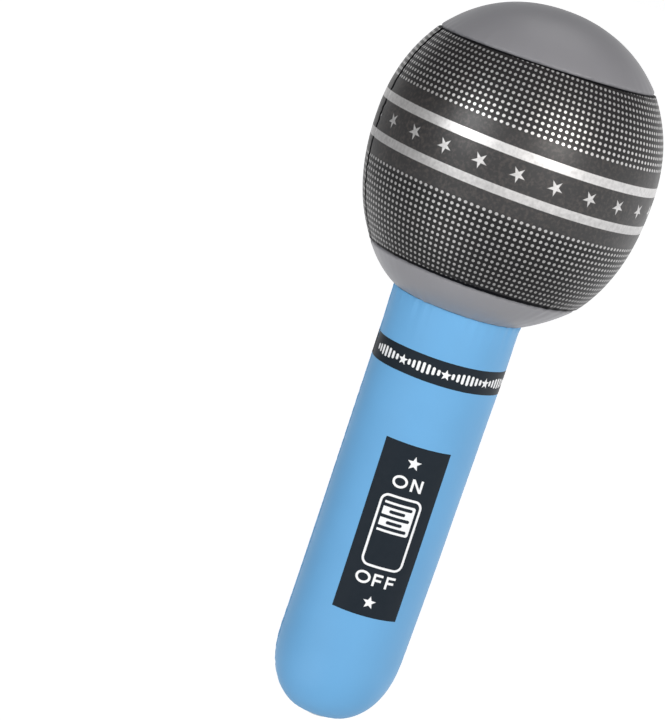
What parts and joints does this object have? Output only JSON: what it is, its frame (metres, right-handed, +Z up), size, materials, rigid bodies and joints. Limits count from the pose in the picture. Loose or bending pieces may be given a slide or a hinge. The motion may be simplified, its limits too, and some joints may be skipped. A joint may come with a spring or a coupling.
{
  "type": "toy microphone",
  "caption": "Inflatable toy microphone: welded printed vinyl film panels form a ball head on a round-ended tube handle, with a push-in air valve and strapped stopper in its end.",
  "frame": {"origin": "on the handle's axis where a hand grips it, 73 mm above the outer face of the valve stopper", "axes": "+Z up the handle's axis to the crown of the head, -Y out of the printed label, +X to the right of it"},
  "size_m": [0.0942, 0.0944, 0.25],
  "materials": {
    "grey_vinyl": "grey vinyl film, soft gloss",
    "grille_vinyl": "charcoal vinyl film printed with silver dots, stripes and stars",
    "blue_vinyl": "light blue vinyl film with a dark printed label and band",
    "valve_vinyl": "soft moulded vinyl, milky",
    "flap_film": "thin milky vinyl film"
  },
  "bodies": {
    "envelope": {"head_top_cap": "grey_vinyl", "head_front_panel": "grille_vinyl", "head_back_panel": "grille_vinyl", "head_collar": "grey_vinyl", "handle_front_panel": "blue_vinyl", "handle_back_panel": "blue_vinyl", "handle_end_patch": "blue_vinyl", "valve_flange": "valve_vinyl"},
    "stem": {"valve_stem": "valve_vinyl"},
    "stopper": {"valve_stopper": "valve_vinyl"},
    "flap": {"valve_check_flap": "flap_film"}
  },
  "joints": [
    {"name": "stem_slide", "type": "slide", "parent": "envelope", "child": "stem", "axis": [0, 0, -1], "range_m": [0, 0.0085]},
    {"name": "stopper_swing", "type": "hinge", "parent": "stem", "child": "stopper", "pos_m": [0.0075, 0, -0.07155], "axis": [0, -1, 0], "range_deg": [0, 145]},
    {"name": "flap_open", "type": "hinge", "parent": "stem", "child": "flap", "pos_m": [-0.0036, 0, -0.05845], "axis": [0, -1, 0], "range_deg": [0, 60], "stiffness_Nm_per_rad": 0.00001, "springref_deg": -11.46}
  ]
}
